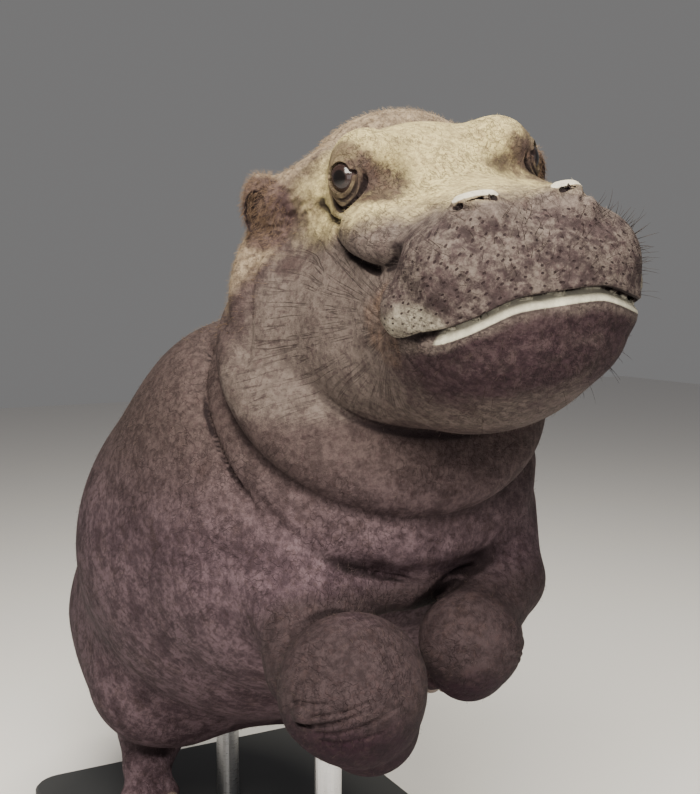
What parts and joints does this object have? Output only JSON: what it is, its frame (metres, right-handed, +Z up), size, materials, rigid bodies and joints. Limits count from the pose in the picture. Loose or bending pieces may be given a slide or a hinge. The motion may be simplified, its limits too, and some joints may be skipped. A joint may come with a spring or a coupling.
{
  "type": "hippopotamus calf model",
  "caption": "Life-size still model of a swimming hippopotamus calf, nose up with bent forelegs, held over a flat base by two upright rods.",
  "frame": {"origin": "middle of the underside of the stand's flat base, on the floor", "axes": "+Z up; the calf faces -Y and its left side is +X"},
  "size_m": [0.6201, 1.3563, 1.1825],
  "materials": {
    "skin_head": "matte wrinkled skin",
    "skin_neck": "matte wrinkled skin",
    "skin_trunk": "matte fine-grained skin",
    "skin_legs": "matte wrinkled skin",
    "skin_feet": "matte dark skin",
    "skin_ears": "matte skin with fine hair",
    "eye": "wet and dark",
    "nail": "dull horn",
    "base": "satin dark board",
    "rod": "brushed"
  },
  "bodies": {
    "root": {"head": "skin_head", "neck": "skin_neck", "trunk": "skin_trunk", "tail": "skin_trunk", "ear_right": "skin_ears", "ear_left": "skin_ears", "eye_right": "eye", "eye_left": "eye", "stand_base": "base", "stand_rod_front": "rod", "stand_rod_rear": "rod", "foreleg_right": "skin_legs", "forefoot_right": "skin_feet", "nail_forefoot_right_1": "nail", "nail_forefoot_right_2": "nail", "nail_forefoot_right_3": "nail", "nail_forefoot_right_4": "nail", "foreleg_left": "skin_legs", "forefoot_left": "skin_feet", "nail_forefoot_left_1": "nail", "nail_forefoot_left_2": "nail", "nail_forefoot_left_3": "nail", "nail_forefoot_left_4": "nail", "hindleg_right": "skin_legs", "hindfoot_right": "skin_feet", "nail_hindfoot_right_1": "nail", "nail_hindfoot_right_2": "nail", "nail_hindfoot_right_3": "nail", "nail_hindfoot_right_4": "nail", "hindleg_left": "skin_legs", "hindfoot_left": "skin_feet", "nail_hindfoot_left_1": "nail", "nail_hindfoot_left_2": "nail", "nail_hindfoot_left_3": "nail", "nail_hindfoot_left_4": "nail"}
  },
  "joints": []
}
